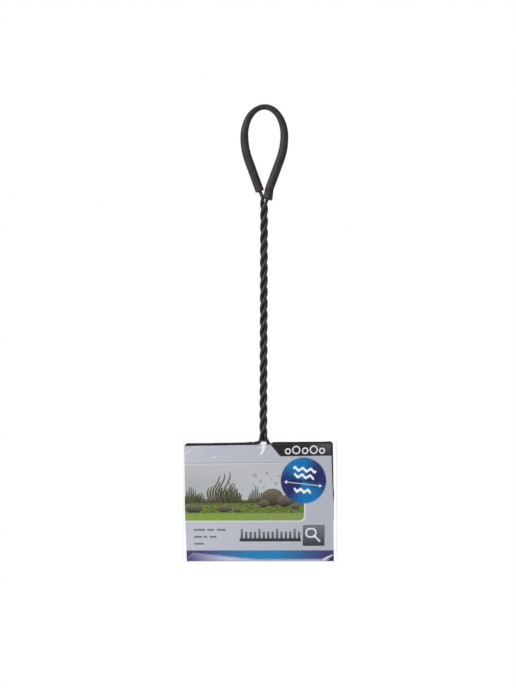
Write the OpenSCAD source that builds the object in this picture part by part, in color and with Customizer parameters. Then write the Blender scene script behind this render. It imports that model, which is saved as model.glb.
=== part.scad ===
// Aquarium fish net in its shop packet, hanging from its finger loop.
// One coated steel wire runs down the handle, round the hoop, up the handle, round the
// finger loop and down again, so the handle is a twist of three strands.
// +Z is up, +Y points to the back of the packet. The origin is at the inside of the loop's top.

/* [Wire] */
// Thickness of the wire over its coating
wire_d = 2.7; // [2.4:0.02:2.8]
// Thickness of the steel inside the coating
core_d = 1.9; // [1.4:0.1:2]
// Play between the steel and the coating
core_play = 0.03; // [0.02:0.01:0.06]
// Gap between neighbouring strands of the twist
strand_gap = 0.5; // [0.48:0.01:0.7]

/* [Handle] */
// Length of the twisted part
twist_len = 189.6; // [120:0.2:260]
// Whole turns in the twist
whole_turns = 6; // [4:1:8]
// Length over which the legs of the loop close in to the twist
lead_len = 10.2; // [9:0.2:14]
// Height of the flare from the twist down to the hoop's bar
flare_h = 6.3; // [6:0.1:10]
// Reach of the flare to the left of the twist
flare_left_reach = 8.2; // [6:0.1:8.4]
// Reach of the flare to the right of the twist
flare_right_reach = 5.8; // [5.6:0.1:6]
// Place of the wire's free end to the right of the twist's middle
foot_reach = 0.6; // [0.4:0.1:0.9]
// Height of the free end above the bar, to the middle of the wire
foot_rise = 3.3; // [3:0.1:3.6]
// Distance of the free end behind the bar, to the middle of the wire
foot_back = 2.4; // [2.2:0.1:2.8]
// Lean of the handle to the right, in degrees
handle_lean = 0.2; // [0:0.01:1.5]

/* [Finger loop] */
// Half the width of the loop, to the middle of the wire
loop_half_w = 16; // [13:0.5:20]
// Height of the loop's oval top above its widest place
loop_top_h = 23.4; // [18:0.2:28]
// Radius of the loop's sides below the widest place
loop_side_r = 56; // [45:1:70]
// Slant of the straight legs, in degrees
leg_slant = 20.2; // [18:0.2:22]
// Half the distance between the legs where they start to close in
leg_half_gap = 4.6; // [4.4:0.1:5.4]

/* [Grip sleeve] */
// Thickness of the soft tube over the loop
sleeve_d = 6.5; // [6:0.1:6.8]
// Wall of the tube
sleeve_wall = 0.7; // [0.5:0.05:0.8]
// How far the tube runs down the left leg past the leg's straight part
sleeve_left_run = 3.2; // [2:0.1:4]
// How far the tube runs down the right leg past the leg's straight part
sleeve_right_run = 9.4; // [8:0.1:9.6]
// Place of the right tube end, to the right of the twist's middle
sleeve_end_x = 3.2; // [3:0.1:4]
// How far the right tube end stands in front of the twist's middle
sleeve_end_front = 2.4; // [2.2:0.1:3]
// How far the wire lies to the left of the right tube end's middle, and as far behind it
wire_aside = 0.45; // [0.3:0.05:0.6]

/* [Hoop] */
// Width of the hoop, to the middle of the wire
hoop_w = 114; // [90:0.2:150]
// Height of the hoop, to the middle of the wire
hoop_h = 70; // [60:0.2:110]
// Corner radius beside the handle
hoop_top_r = 4.5; // [4:0.1:12]
// Corner radius at the far side
hoop_bottom_r = 10; // [8:0.5:20]
// How far the handle stands to the right of the hoop's middle
handle_shift = 3.5; // [0:0.1:6]

/* [Hem] */
// Thickness of the hem's cloth
hem_cloth = 0.6; // [0.4:0.05:0.8]
// Slack between the wire and the hem round it
hem_play = 0.33; // [0.3:0.01:0.5]
// Depth of the flat hem strip inside the wire
hem_depth = 6; // [5:0.1:9]
// How far the hem stops short of the handle's middle, on the left
hem_left_gap = 10.8; // [10.4:0.1:14]
// How far the hem stops short of the handle's middle, on the right
hem_right_gap = 8; // [7.9:0.1:14]
// Thickness of the sewing thread
thread_d = 0.35; // [0.25:0.05:0.5]
// Stitches along the hem
stitches = 88; // [60:2:120]

/* [Net bag] */
// Thickness of the netting
mesh_t = 0.3; // [0.2:0.05:0.4]
// Layers of the folded bag
layers = 5; // [3:2:5]
// Distance from one folded layer to the next
layer_step = 0.8; // [0.7:0.05:1]
// How far the first layer lies behind the hem
bag_setback = 1.1; // [1:0.05:1.6]
// Width of the sewn side seams
seam_w = 1.2; // [0.8:0.1:2]
// How far the bag's folds keep from the hem's inner edge
fold_room = 4.1; // [3:0.1:8]

/* [Card] */
// How far the card stops short of the hem, on each side
card_side_short = 0.58; // [0.2:0.02:2]
// Room between the hem's lowest edge and the card's fold
card_foot_room = 19.92; // [6:0.02:30]
// Thickness of the card
card_t = 0.4; // [0.3:0.05:0.6]
// How far the card stands to the left of the hoop's middle
card_shift = 0.1; // [0:0.1:0.8]
// Clearance between the card and what lies in it
card_play = 0.3; // [0.3:0.05:0.6]
// Depth of the card's top edge below the middle of the hoop's bar
card_drop = 0.2; // [0:0.1:2]

/* [Film bag] */
// Thickness of the clear film
film_t = 0.15; // [0.1:0.05:0.3]
// Clearance between the film and the card
film_play = 0.3; // [0.3:0.05:0.6]
// Room beside the hoop, on each side
film_side_room = 2.5; // [1.6:0.1:4]
// How far the film's middle lies to the right of the hoop's
film_shift = 1; // [0:0.1:1.2]
// Height of the film above the card's top edge
film_rise = 4.6; // [2:0.2:12]
// Radius of the film round the packet's upright edges
film_edge_r = 1.2; // [0.6:0.1:1.2]

/* [Hidden] */
// How far a cut runs past what it cuts
overrun = 1;

// Sides and rings of the swept tubes
wire_sides = 10;
core_sides = 5;
sleeve_sides = 12;
rings_per_turn = 9;
oval_steps = 8;
side_steps = 3;
lead_steps = 4;
join_steps = 3;
flare_steps = 6;
corner_steps = 5;
// Rings closer than this share of the wire's radius are left out.
nearest_ring_share = 0.1;
// Stretches of wire this many thicknesses apart along it are measured for the least gap.
far_apart_share = 3;

// The sleeve is pressed flatter where it goes over the top of the loop.
sleeve_top_flat_share = 0.28;
// The twist ends this share of a turn past its whole turns.
last_turn_share = 0.744;
// The strand that goes to the left of the hoop leaves the twist at this angle.
neck_angle = 192;
// The free end runs back by this share of its fall.
foot_back_share = 0.2;
// The right leg goes to the left by this share of its fall, in front of the left one.
cross_share = 0.44;
// The right leg joins the twist this share of a turn below the twist's top.
join_share = 0.17;
// Sides of a full round on the hem, the card and the film
smooth = 48;
// Points of a half turn of the folded bag
fold_steps = 6;
// Least corner radius of an outline that is drawn in past its corners
least_corner_r = 0.6;

wire_r = wire_d / 2;
core_r = core_d / 2;
bore_r = core_r + core_play;
sleeve_r = sleeve_d / 2;
twist_r = (wire_d + strand_gap) / sqrt(3);
pitch = twist_len / (whole_turns + last_turn_share);

// Heights, from the inside of the loop's top down to the hoop.
loop_top_z = sleeve_r * (1 - sleeve_top_flat_share);
widest_z = loop_top_z - loop_top_h;
side_end_z = widest_z - loop_side_r * sin(leg_slant);
side_end_x = loop_half_w - loop_side_r * (1 - cos(leg_slant));
leg_end_z = side_end_z - (side_end_x - leg_half_gap) / tan(leg_slant);
twist_top_z = leg_end_z - lead_len;
twist_bottom_z = twist_top_z - twist_len;
bar_z = twist_bottom_z - flare_h;
neck_x = bar_z * tan(handle_lean);
hoop_x = neck_x - handle_shift;

// The hem, the bag and the packet round them.
hem_t = 2 * hem_cloth;
hem_r = wire_r + hem_play + hem_cloth;
bag_back = hem_t / 2 + mesh_t + bag_setback + (layers - 1) * layer_step + mesh_t;
card_front = hem_r + card_play;
card_back = bag_back + card_play;
card_w = hoop_w + 2 * hem_r - 2 * card_side_short;
card_h = hoop_h + hem_r + card_foot_room + card_t - card_drop;
card_x = hoop_x - card_shift;
card_top_z = bar_z - card_drop;
film_x = hoop_x + film_shift;
film_w = hoop_w + 2 * hem_r + 2 * film_side_room;
film_front = card_front + card_t + film_play;
film_back = card_back + card_t + film_play;
film_h = card_h + film_rise + film_play;

// Vectors and sweeps

function unit(v) = v / norm(v);

// A curve from a to b that leaves along da and arrives along db, without its first point.
function blend(a, da, b, db, steps) =
  let (reach = norm(b - a))
  [for (i = [1 : steps])
    let (s = i / steps, q = s * s, c = q * s)
    (2 * c - 3 * q + 1) * a + (c - 2 * q + s) * reach * unit(da)
      + (3 * q - 2 * c) * b + (c - q) * reach * unit(db)];

function directions(p) =
  [for (i = [0 : len(p) - 1]) unit(p[min(i + 1, len(p) - 1)] - p[max(i - 1, 0)])];

function square_to(u, t) = unit(u - (u * t) * t);

// The side of each ring, carried along the path with no twist.
function ring_sides(t, first) =
  [for (i = 0, u = square_to(first, t[0]);
      i < len(t);
      i = i + 1, u = i < len(t) ? square_to(u, t[i]) : u) u];

// The rings of a tube along the path p, with a radius along its side and one square to it.
function tube_rings(p, across, up, n, first) =
  let (t = directions(p), u = ring_sides(t, first))
  [for (i = [0 : len(p) - 1], k = [0 : n - 1])
    p[i] + across[i] * cos(360 * k / n) * u[i] + up[i] * sin(360 * k / n) * cross(t[i], u[i])];

function wall_faces(rings, n, from) =
  [for (i = [0 : rings - 2], k = [0 : n - 1])
    let (a = from + i * n + k, b = from + i * n + (k + 1) % n)
    each [[a, a + n, b], [b, a + n, b + n]]];

function turned(faces) = [for (f = faces) [f[2], f[1], f[0]]];

function cap_faces(n, from) = [for (k = [1 : n - 2]) [from, from + k, from + k + 1]];

// The ring face between an outer loop of n points and an inner loop of n / 2 points.
function rim_faces(n, outer, inner) =
  [for (k = [0 : n / 2 - 1])
    let (a = outer + 2 * k, b = a + 1, c = outer + (2 * k + 2) % n,
      d = inner + k, e = inner + (k + 1) % (n / 2))
    each [[a, b, d], [b, e, d], [b, c, e]]];

module rod(p, r, n, first) {
  radii = [for (i = p) r];
  points = tube_rings(p, radii, radii, n, first);
  last = (len(p) - 1) * n;
  polyhedron(points, concat(wall_faces(len(p), n, 0), cap_faces(n, 0), turned(cap_faces(n, last))));
}

// A tube whose bore has half as many sides as its outside.
module hose(p, across, up, bore_across, bore_up, n, first) {
  m = n / 2;
  inner = len(p) * n;
  points = concat(
    tube_rings(p, across, up, n, first),
    tube_rings(p, bore_across, bore_up, m, first));
  polyhedron(points, concat(
    wall_faces(len(p), n, 0),
    turned(wall_faces(len(p), m, inner)),
    rim_faces(n, 0, inner),
    turned(rim_faces(n, inner - n, inner + (len(p) - 1) * m))));
}

// The wire's route, with the neck at x = 0

function strand_angle(z, at_neck) = at_neck + 360 * (z - twist_bottom_z) / pitch;

function on_strand(z, at_neck) =
  let (a = strand_angle(z, at_neck)) [twist_r * cos(a), twist_r * sin(a), z];

// The way a strand points as it climbs.
function strand_climb(z, at_neck) =
  let (a = strand_angle(z, at_neck), turn = 2 * PI / pitch)
  [-twist_r * turn * sin(a), twist_r * turn * cos(a), 1];

function strand_up(at_neck, low, high) =
  let (steps = ceil((high - low) / pitch * rings_per_turn))
  [for (i = [0 : steps]) on_strand(low + (high - low) * i / steps, at_neck)];

function backwards(p) = [for (i = [len(p) - 1 : -1 : 0]) p[i]];

// The right half of the loop, from its top down to the end of the straight leg.
loop_half = concat(
  [for (i = [0 : oval_steps])
    let (a = 90 * i / oval_steps)
    [loop_half_w * sin(a), 0, widest_z + loop_top_h * cos(a)]],
  [for (i = [1 : side_steps])
    let (a = leg_slant * i / side_steps)
    [loop_half_w - loop_side_r * (1 - cos(a)), 0, widest_z - loop_side_r * sin(a)]],
  [[leg_half_gap, 0, leg_end_z]]);

function mirrored(p) = [for (q = p) [-q.x, q.y, q.z]];

loop_path = concat(backwards(mirrored(loop_half)), [for (i = [1 : len(loop_half) - 1]) loop_half[i]]);

left_neck = neck_angle;
right_neck = neck_angle + 120;
free_neck = neck_angle + 240;

leg_down = [sin(leg_slant), 0, cos(leg_slant)];
left_leg_end = [-leg_half_gap, 0, leg_end_z];
right_leg_end = [leg_half_gap, 0, leg_end_z];

cross_point = [sleeve_end_x - wire_aside, wire_aside - sleeve_end_front, leg_end_z - sleeve_right_run];
join_z = twist_top_z - join_share * pitch;
free_end_z = twist_top_z - wire_r;

// Where the sleeve stops on the left leg, and the way down the legs as they close in.
sleeve_left_end = left_leg_end + sleeve_left_run * [tan(leg_slant), 0, -1];
crossing = [-cross_share, 0, -1];

left_lead = blend(on_strand(twist_top_z, right_neck), strand_climb(twist_top_z, right_neck),
  sleeve_left_end, [-sin(leg_slant), 0, cos(leg_slant)], lead_steps);
right_lead = concat(
  blend(right_leg_end, -leg_down, cross_point, crossing, lead_steps),
  blend(cross_point, crossing,
    on_strand(join_z, free_neck), -strand_climb(join_z, free_neck), join_steps));

// The rounded rectangle of the hoop, drawn in by an inset, with its top bar's middle at the origin.
function inset_w(inset) = hoop_w - 2 * inset;
function inset_h(inset) = hoop_h - 2 * inset;
function inset_r(r, inset) = max(r - inset, least_corner_r);

function corner(x, z, r, from, steps) =
  [for (i = [0 : steps]) let (a = from - 90 * i / steps) [x + r * cos(a), z + r * sin(a)]];

// The hoop's outline without its top bar, clockwise from the top right corner.
function hoop_route(inset, steps) =
  let (w = inset_w(inset) / 2, h = inset_h(inset),
    t = inset_r(hoop_top_r, inset), b = inset_r(hoop_bottom_r, inset))
  [for (p = concat(
      corner(w - t, -t, t, 90, steps), corner(w - b, b - h, b, 0, steps),
      corner(b - w, b - h, b, -90, steps), corner(t - w, -t, t, -180, steps)))
    [p.x, p.y - inset]];

bar_left = [-twist_r - flare_left_reach, 0, bar_z];
bar_right = [twist_r + flare_right_reach, 0, bar_z];
foot_end = [foot_reach, foot_back, bar_z + foot_rise];

hoop_path = [for (p = backwards(hoop_route(0, corner_steps))) [p.x - handle_shift, 0, p.y + bar_z]];

wire_route = concat(
  backwards(strand_up(left_neck, twist_bottom_z, free_end_z)),
  blend(on_strand(twist_bottom_z, left_neck), -strand_climb(twist_bottom_z, left_neck),
    bar_left, [-1, 0, 0], flare_steps),
  hoop_path,
  [bar_right],
  blend(bar_right, [-1, 0, 0],
    on_strand(twist_bottom_z, right_neck), strand_climb(twist_bottom_z, right_neck), flare_steps),
  strand_up(right_neck, twist_bottom_z, twist_top_z),
  left_lead,
  loop_path,
  right_lead,
  backwards(strand_up(free_neck, twist_bottom_z, join_z)),
  blend(on_strand(twist_bottom_z, free_neck), -strand_climb(twist_bottom_z, free_neck),
    foot_end, [0, foot_back_share, -1], flare_steps));

// Moves a point of the route to its place, with the handle's lean above the hoop.
function placed(p) =
  [for (q = p) [q.x + neck_x + max(q.z - bar_z, 0) * tan(handle_lean), q.y, q.z]];

// Leaves out points that lie on the one before.
function spaced(p) =
  [for (i = [0 : len(p) - 1]) if (i == 0 || norm(p[i] - p[i - 1]) > nearest_ring_share * wire_r) p[i]];

wire_path = spaced(placed(wire_route));

// The length of a path up to each of its points
function along(p) =
  [for (i = 0, s = 0; i < len(p); i = i + 1, s = i < len(p) ? s + norm(p[i] - p[i - 1]) : s) s];
wire_along = along(wire_path);

// The least gap between stretches of the wire that are far apart along it
least_gap = min([for (i = [0 : len(wire_path) - 1], j = [i + 1 : 1 : len(wire_path) - 1])
  if (wire_along[j] - wire_along[i] > far_apart_share * wire_d) norm(wire_path[j] - wire_path[i]) - wire_d]);
echo(wire_rings = len(wire_path), wire_length = wire_along[len(wire_path) - 1], least_gap = least_gap);

first_side = [1, 0, 0];

module steel_core() {
  color("silver") rod(wire_path, core_r, core_sides, first_side);
}

module wire_coat() {
  outer = [for (p = wire_path) wire_r];
  bore = [for (p = wire_path) bore_r];
  color("#2c2a29") hose(wire_path, outer, outer, bore, bore, wire_sides, first_side);
}

// The sleeve's route follows the loop and runs on down both legs.
sleeve_end = [sleeve_end_x, -sleeve_end_front, leg_end_z - sleeve_right_run];
sleeve_path = placed(concat(
  [sleeve_left_end],
  loop_path,
  blend(right_leg_end, -leg_down, sleeve_end, crossing, lead_steps)));

// How much of the flattening a height has: none at the legs, all at the top.
function flattening(z) =
  let (s = max(0, min(1, (z - leg_end_z) / (loop_top_z - leg_end_z)))) sleeve_top_flat_share * pow(s, 4);

module grip_sleeve() {
  across = [for (p = sleeve_path) sleeve_r * (1 - flattening(p.z))];
  up = [for (p = sleeve_path) sleeve_r * (1 + flattening(p.z) / 2)];
  color("#524c52") hose(sleeve_path, across, up,
    [for (a = across) a - sleeve_wall], [for (a = up) a - sleeve_wall], sleeve_sides, first_side);
}

// The hoop's hem and stitching, drawn flat with the top bar's middle at the origin

module at_hoop() {
  translate([hoop_x, 0, bar_z]) rotate([90, 0, 0]) children();
}

// A slab of the packet's outline, from one distance in front of the hoop to one behind it.
module layer(front, back) {
  translate([0, 0, -back]) linear_extrude(front + back) children();
}

module rounded_rect(w, h, top_r, bottom_r) {
  translate([-w / 2, bottom_r - h]) square([w, h - top_r - bottom_r]);
  translate([top_r - w / 2, -top_r]) square([w - 2 * top_r, top_r]);
  translate([bottom_r - w / 2, -h]) square([w - 2 * bottom_r, bottom_r]);
  for (side = [-1, 1]) {
    translate([side * (w / 2 - top_r), -top_r]) circle(top_r, $fn = smooth);
    translate([side * (w / 2 - bottom_r), bottom_r - h]) circle(bottom_r, $fn = smooth);
  }
}

module hoop_area(inset) {
  translate([0, -inset])
    rounded_rect(inset_w(inset), inset_h(inset),
      inset_r(hoop_top_r, inset), inset_r(hoop_bottom_r, inset));
}

module bar(from, length, angle, r) {
  translate([from.x, from.y, 0]) rotate([0, 0, angle]) rotate([0, 90, 0])
    cylinder(h = length, r = r, $fn = smooth);
}

module bend(x, y, bend_r, start, r) {
  translate([x, y, 0]) rotate([0, 0, start])
    rotate_extrude(angle = 90, $fn = smooth) translate([bend_r, 0]) circle(r, $fn = smooth);
}

// A round tube along the whole hoop.
module hoop_tube(r) {
  w = hoop_w / 2;
  t = hoop_top_r;
  b = hoop_bottom_r;
  bar([t - w, 0], hoop_w - 2 * t, 0, r);
  bar([b - w, -hoop_h], hoop_w - 2 * b, 0, r);
  for (side = [-1, 1]) bar([side * w, b - hoop_h], hoop_h - t - b, 90, r);
  bend(w - t, -t, t, 0, r);
  bend(t - w, -t, t, 90, r);
  bend(b - w, b - hoop_h, b, 180, r);
  bend(w - b, b - hoop_h, b, 270, r);
}

module hem_binding() {
  bore = wire_r + hem_play;
  color("#262425") at_hoop() difference() {
    union() {
      hoop_tube(hem_r);
      layer(hem_t / 2, hem_t / 2) difference() {
        hoop_area(0);
        hoop_area(hem_depth);
      }
    }
    hoop_tube(bore);
    translate([handle_shift - hem_left_gap, -bore, -hem_r - overrun])
      cube([hem_left_gap + hem_right_gap, bore + hem_r + overrun, 2 * (hem_r + overrun)]);
  }
}

// The stitches run along the middle of the strip between the hem's tube and its inner edge.
stitch_inset = (hem_r + hem_depth) / 2;
stitch_outline = let (p = hoop_route(stitch_inset, corner_steps)) concat(p, [p[0]]);
outline_along = along([for (p = stitch_outline) [p.x, p.y, 0]]);
stitch_lap = outline_along[len(outline_along) - 1];

// The point at a distance along the stitches' outline.
function on_outline(s) =
  let (x = [for (i = [0 : len(stitch_outline) - 1]) [outline_along[i], stitch_outline[i].x]],
    y = [for (i = [0 : len(stitch_outline) - 1]) [outline_along[i], stitch_outline[i].y]])
  [lookup(s, x), lookup(s, y)];

stitch_front = hem_t / 2;
stitch_back = hem_t / 2 + mesh_t;

// A running stitch: each length of thread lies in front or behind and goes through at its ends.
module hem_thread() {
  half = thread_d / 2;
  color("#3a3738") at_hoop() for (i = [0 : stitches - 1]) {
    a = on_outline(stitch_lap * i / stitches);
    b = on_outline(stitch_lap * (i + 1) / stitches);
    angle = atan2(b.y - a.y, b.x - a.x);
    translate([a.x, a.y, i % 2 == 0 ? stitch_front : -stitch_back - thread_d]) rotate([0, 0, angle])
      translate([-half, -half, 0]) cube([norm(b - a) + thread_d, thread_d, thread_d]);
    translate([a.x, a.y, -stitch_back - thread_d]) rotate([0, 0, angle])
      translate([-half, -half, 0]) cube([thread_d, thread_d, stitch_front + stitch_back + 2 * thread_d]);
  }
}

// The folded bag: one sheet that goes down and up behind the hoop, seen from the side

fold_r = layer_step / 2;
bag_first = hem_t / 2 + mesh_t + bag_setback + mesh_t / 2;
bag_high = -hem_depth - fold_room;
bag_low = hem_depth + fold_room - hoop_h;
mouth_y = hem_t / 2 + mesh_t / 2;

function half_turn(y, z, way) =
  [for (i = [1 : fold_steps - 1])
    let (a = 180 * i / fold_steps)
    [y + fold_r * (1 - cos(a)), z + way * fold_r * sin(a)]];

// Points of the sheet's middle, each as distance behind the hoop and height from its bar.
// It starts and ends on the flange, which is sewn to the hem.
bag_route = concat(
  [[mouth_y, mesh_t - hem_depth], [mouth_y, -hem_depth - mesh_t]],
  [for (i = [0 : layers - 1])
    let (y = bag_first + i * layer_step, down = i % 2 == 0,
      start = i == 0 ? bag_high + fold_r : bag_high, end = i == layers - 1 ? bag_low - fold_r : bag_low)
    each concat([[y, down ? start : bag_low], [y, down ? end : bag_high]],
      i < layers - 1 ? half_turn(y, down ? bag_low : bag_high, down ? -1 : 1) : [])],
  [[mouth_y, -hoop_h + hem_depth + mesh_t], [mouth_y, -hoop_h + hem_depth - mesh_t]]);

function left_of(p, i) =
  let (d = p[min(i + 1, len(p) - 1)] - p[max(i - 1, 0)], u = d / norm(d)) [-u.y, u.x];

// A strip of one thickness along a line of points.
module strip(p, t) {
  polygon(concat(
    [for (i = [0 : len(p) - 1]) p[i] + t / 2 * left_of(p, i)],
    [for (i = [len(p) - 1 : -1 : 0]) p[i] - t / 2 * left_of(p, i)]));
}

bag_half_w = hoop_w / 2 - hem_depth - seam_w;

module bag_sheet(x, w) {
  translate([hoop_x + x, 0, bar_z]) rotate([90, 0, 90]) linear_extrude(w) strip(bag_route, mesh_t);
}

// The bag's edge, flat against the back of the hem strip.
module flange() {
  at_hoop() translate([0, 0, -hem_t / 2]) layer(0, mesh_t) difference() {
    hoop_area(hem_r + hem_play);
    hoop_area(hem_depth);
  }
}

module net_bag() {
  color("#343233") {
    flange();
    bag_sheet(-bag_half_w, 2 * bag_half_w);
  }
}

// A seam ends at the flange.
module side_seam(x) {
  difference() {
    bag_sheet(x, seam_w);
    flange();
  }
}

module side_seam_left() {
  color("#2b292a") side_seam(-bag_half_w - seam_w);
}

module side_seam_right() {
  color("#2b292a") side_seam(bag_half_w);
}

// The packet: a card folded under the hoop, in a film bag that is open at the top

// A sheet folded round its bottom, seen from the side, from a front depth to a back depth.
module fold_area(front, back, height) {
  r = (front + back) / 2;
  translate([-front, r - height]) square([2 * r, height - r]);
  translate([back - r, r - height]) circle(r, $fn = smooth);
}

module fold_solid(front, back, height, width) {
  rotate([90, 0, 90]) linear_extrude(width, center = true) fold_area(front, back, height);
}

module printed_card() {
  color("#b7bac4") translate([card_x, 0, card_top_z]) difference() {
    fold_solid(card_front + card_t, card_back + card_t, card_h, card_w);
    translate([0, 0, overrun])
      fold_solid(card_front, card_back, card_h + overrun - card_t, card_w + 2 * overrun);
  }
}

// The packet's outer form drawn in by a distance, and carried on above the film's top edge.
module film_form(inset, above) {
  front = film_front + film_t - inset;
  back = film_back + film_t - inset;
  w = film_w - 2 * inset;
  r = film_edge_r - inset;
  intersection() {
    translate([0, 0, above]) fold_solid(front, back, film_h + film_t - inset + above, w + 2 * overrun);
    translate([0, (back - front) / 2, -film_h - overrun]) linear_extrude(film_h + 2 * overrun + above) {
      square([w - 2 * r, front + back], center = true);
      square([w, front + back - 2 * r], center = true);
      for (x = [-1, 1], y = [-1, 1])
        translate([x * (w / 2 - r), y * ((front + back) / 2 - r)]) circle(r, $fn = smooth);
    }
  }
}

module film_bag() {
  color("white", 0.3) translate([film_x, 0, card_top_z + film_rise]) difference() {
    film_form(0, 0);
    film_form(film_t, overrun);
  }
}

steel_core();
wire_coat();
grip_sleeve();
hem_binding();
hem_thread();
net_bag();
side_seam_left();
side_seam_right();
printed_card();
film_bag();
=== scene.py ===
# %% [markdown]
# # Aquarium fish net in its shop packet
# The net's wire hoop stands in a folded card, and a clear film bag holds both. The twisted
# handle rises out of the open bag and ends in a finger loop with a soft sleeve.
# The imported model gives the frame: its bodies, its sizes and its places. Every new piece is
# made in that same frame, so nothing is fitted by eye afterwards.

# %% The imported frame
import math

import bpy
import numpy as np
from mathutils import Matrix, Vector


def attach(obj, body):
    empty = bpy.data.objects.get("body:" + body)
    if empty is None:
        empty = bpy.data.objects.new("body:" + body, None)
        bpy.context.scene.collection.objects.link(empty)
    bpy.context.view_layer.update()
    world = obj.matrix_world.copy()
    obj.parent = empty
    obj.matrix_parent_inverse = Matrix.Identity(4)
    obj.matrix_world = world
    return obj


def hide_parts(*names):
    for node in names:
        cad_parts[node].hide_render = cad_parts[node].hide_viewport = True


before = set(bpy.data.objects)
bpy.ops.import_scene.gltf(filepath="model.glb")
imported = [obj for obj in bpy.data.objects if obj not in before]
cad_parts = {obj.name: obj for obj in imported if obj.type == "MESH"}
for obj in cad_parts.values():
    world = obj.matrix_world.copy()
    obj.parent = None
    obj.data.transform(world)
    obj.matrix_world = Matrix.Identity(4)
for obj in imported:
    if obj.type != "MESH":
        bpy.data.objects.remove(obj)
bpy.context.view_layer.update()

print("nodes:", ", ".join(sorted(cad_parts)))

# %% [markdown]
# ## Camera
# The photograph looks straight at the front of the packet, with the whole net in the frame.
# A long lens from one and a half metres keeps the lines as parallel as they are there. The
# frame is 550 mm high at the net, so one pixel is 0.8 mm.

# %% Camera
MM = 0.001
IMAGE = (516, 688)
FRAME_HIGH = 550.4
SENSOR = 36
LOOK_AT = (-5.165, 0.0, -187.4)
DISTANCE = 1500.0

camera = bpy.data.objects.new("camera", bpy.data.cameras.new("camera"))
bpy.context.collection.objects.link(camera)
camera.location = (LOOK_AT[0] * MM, -DISTANCE * MM, LOOK_AT[2] * MM)
camera.rotation_euler = (math.radians(90), 0, 0)
camera.data.sensor_fit = "VERTICAL"
camera.data.sensor_width = camera.data.sensor_height = SENSOR
camera.data.lens = SENSOR * DISTANCE / FRAME_HIGH
camera.data.clip_start, camera.data.clip_end = 0.05, 20
bpy.context.scene.camera = camera
bpy.context.scene.view_settings.view_transform = "Standard"
print("one pixel is", FRAME_HIGH / IMAGE[1], "mm")

# %% [markdown]
# ## Helpers for shapes
# Each surface is a grid of points that a formula gives: rows run one way along it and columns
# the other. One helper turns such a grid into a mesh, so every piece below is only its
# formula. All sizes are in millimetres until the mesh is made, and the UV maps count 100 mm
# as 1.

# %% Grid to mesh
UV_PER_MM = 0.01


def surface(name, points, along=None, around=None, wrap=False, caps=False, sharp=180):
    """A mesh from a grid of points, rows by columns by 3. With wrap the last column joins the
    first, and caps close the first and last rows. The UV of a corner is (around of its column,
    along of its row), both in mm, and edges sharper than the angle stay sharp."""
    rows, cols = points.shape[:2]
    i, j = np.meshgrid(np.arange(rows - 1), np.arange(cols if wrap else cols - 1), indexing="ij")
    i, j = i.ravel(), j.ravel()
    row = np.stack([i, i, i + 1, i + 1], 1)
    col = np.stack([j, j + 1, j + 1, j], 1)
    faces = (row * cols + col % cols).tolist()
    if caps:
        faces += [list(range(cols - 1, -1, -1)), list(range((rows - 1) * cols, rows * cols))]
    mesh = bpy.data.meshes.new(name)
    mesh.from_pydata((points.reshape(-1, 3) * MM).tolist(), [], faces)
    if along is not None:
        uv = np.stack([around[col], along[row]], -1).reshape(-1, 2) * UV_PER_MM
        uv = np.vstack([uv, np.zeros((len(mesh.loops) - len(uv), 2))])
        mesh.uv_layers.new(name="UV").data.foreach_set("uv", uv.ravel())
    mesh.polygons.foreach_set("use_smooth", [True] * len(mesh.polygons))
    mesh.set_sharp_from_angle(angle=math.radians(sharp))
    mesh.update()
    made = bpy.data.objects.new(name, mesh)
    bpy.context.collection.objects.link(made)
    return made


def thicken(sheet, thickness, offset):
    """Gives a sheet its thickness in mm, with crisp rims."""
    made = sheet.modifiers.new("thickness", "SOLIDIFY")
    made.thickness, made.offset = thickness * MM, offset
    sheet.modifiers.new("crisp rim", "EDGE_SPLIT").split_angle = math.radians(50)
    return made


def hill(v, middle, spread):
    """A smooth rise to 1 at the middle: exp(-((v - middle) / spread)^2)."""
    return np.exp(-((v - middle) / spread) ** 2)


# %% [markdown]
# A wire or a tube is a circle carried along a path. The path never points along Y for long
# stretches, so the Y axis gives every circle its sideways direction and nothing twists.

# %% Tubes along a path
def unit(v):
    """Each vector over its own length."""
    v = np.asarray(v, float)
    return v / np.linalg.norm(v, axis=-1, keepdims=True)


def run_of(path):
    """The distance along a path at each of its points."""
    return np.concatenate([[0.0], np.cumsum(np.linalg.norm(np.diff(path, axis=0), axis=1))])


def tube(path, across, up, sides, reference=(0.0, 1.0, 0.0)):
    """Rings round a path: centre + across cos(a) u + up sin(a) w, where t is the path's
    direction, u is t x reference and w is t x u. The radii are one number or one for each ring."""
    path = np.asarray(path, float)
    t = unit(np.gradient(path, axis=0))
    u = unit(np.cross(t, reference))
    w = np.cross(t, u)
    a = np.linspace(0, 2 * math.pi, sides, endpoint=False)[None, :, None]
    across = np.broadcast_to(across, len(path))[:, None, None]
    up = np.broadcast_to(up, len(path))[:, None, None]
    return path[:, None] + across * np.cos(a) * u[:, None] + up * np.sin(a) * w[:, None]


def blend(start, end, steps):
    """A curve between two ends, each a point and a direction, without its first point. It is
    the cubic that leaves and arrives in those directions, with both slopes as long as the
    straight way between the points."""
    (a, da), (b, db) = start, end
    s = np.linspace(0, 1, steps + 1)[1:, None]
    reach = np.linalg.norm(b - a)
    return ((2 * s**3 - 3 * s**2 + 1) * a + (s**3 - 2 * s**2 + s) * reach * unit(da)
            + (3 * s**2 - 2 * s**3) * b + (s**3 - s**2) * reach * unit(db))


# %% [markdown]
# ## The one wire
# The real net is bent from one piece of plastic-coated steel wire. It starts at the top of the
# twist, runs down it, out and round the hoop, back to the neck, up the twist, round the finger
# loop and down the twist again to a short free end between the two flares. So the handle is
# three strands of the same wire, wound right-handed with a lead of 28 mm. One tube along one
# path shows this better than three separate helices, because every bend into the loop and the
# hoop comes out by itself.

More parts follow.
